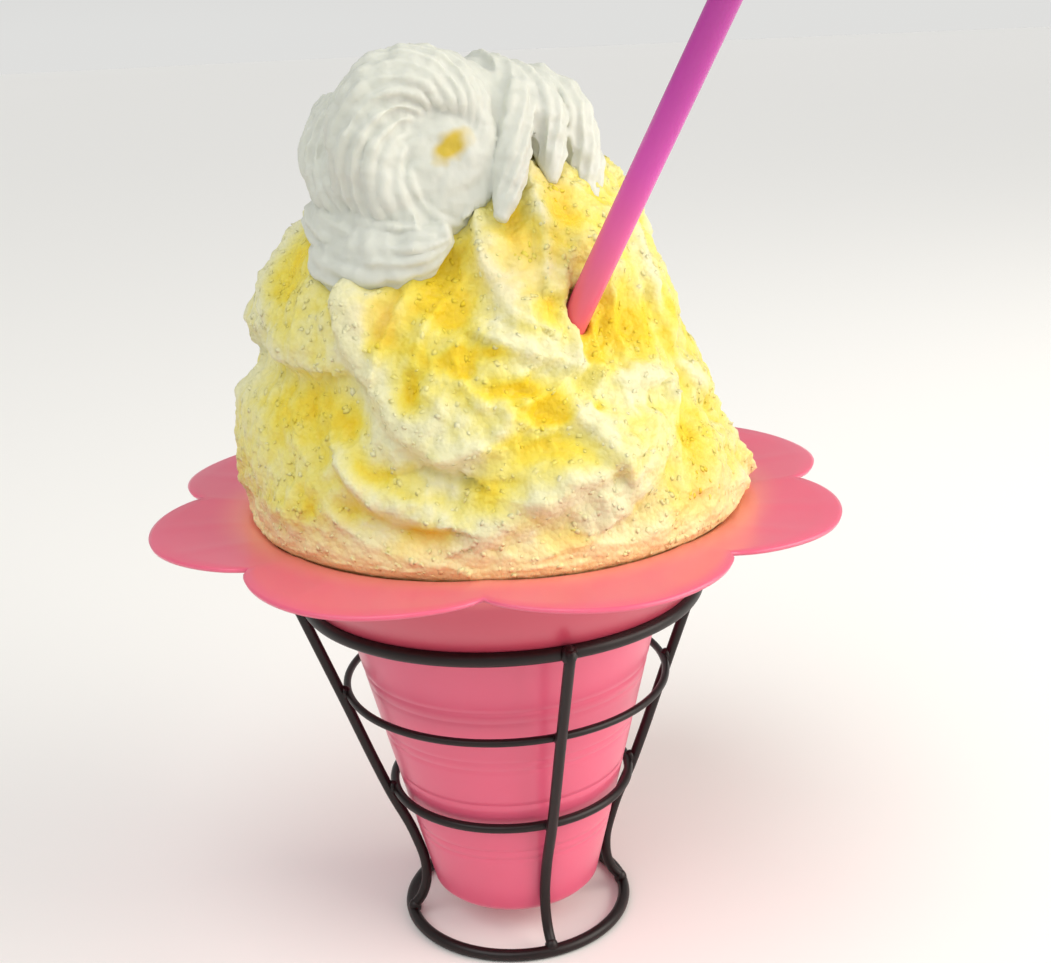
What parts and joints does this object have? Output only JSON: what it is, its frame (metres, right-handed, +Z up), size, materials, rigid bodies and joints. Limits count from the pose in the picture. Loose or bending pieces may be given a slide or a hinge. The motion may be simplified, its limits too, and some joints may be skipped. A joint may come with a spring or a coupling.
{
  "type": "shaved ice dessert",
  "caption": "Heap of shaved ice with yellow syrup, soft cream and a straw, in a flower-brimmed cup that hangs in a black wire stand.",
  "frame": {"origin": "on the stand's axis, level with the underside of its base ring, which is the middle of the bottom of the whole box", "axes": "+Z up; the shown front of the heap faces -Y, and the straw leans to +X and -Y"},
  "size_m": [0.16, 0.16, 0.2392],
  "materials": {
    "wire_stand": "glossy black painted steel wire",
    "flower_cup": "thin moulded pink plastic, slightly see-through",
    "shaved_ice": "wet shaved ice with yellow and orange syrup",
    "cream": "soft white cream with a wet sheen",
    "straw": "glossy plastic, coral at the foot to purple at the top"
  },
  "bodies": {
    "root": {"wire_stand": "wire_stand", "flower_cup": "flower_cup", "shaved_ice": "shaved_ice", "cream": "cream", "straw": "straw"}
  },
  "joints": []
}
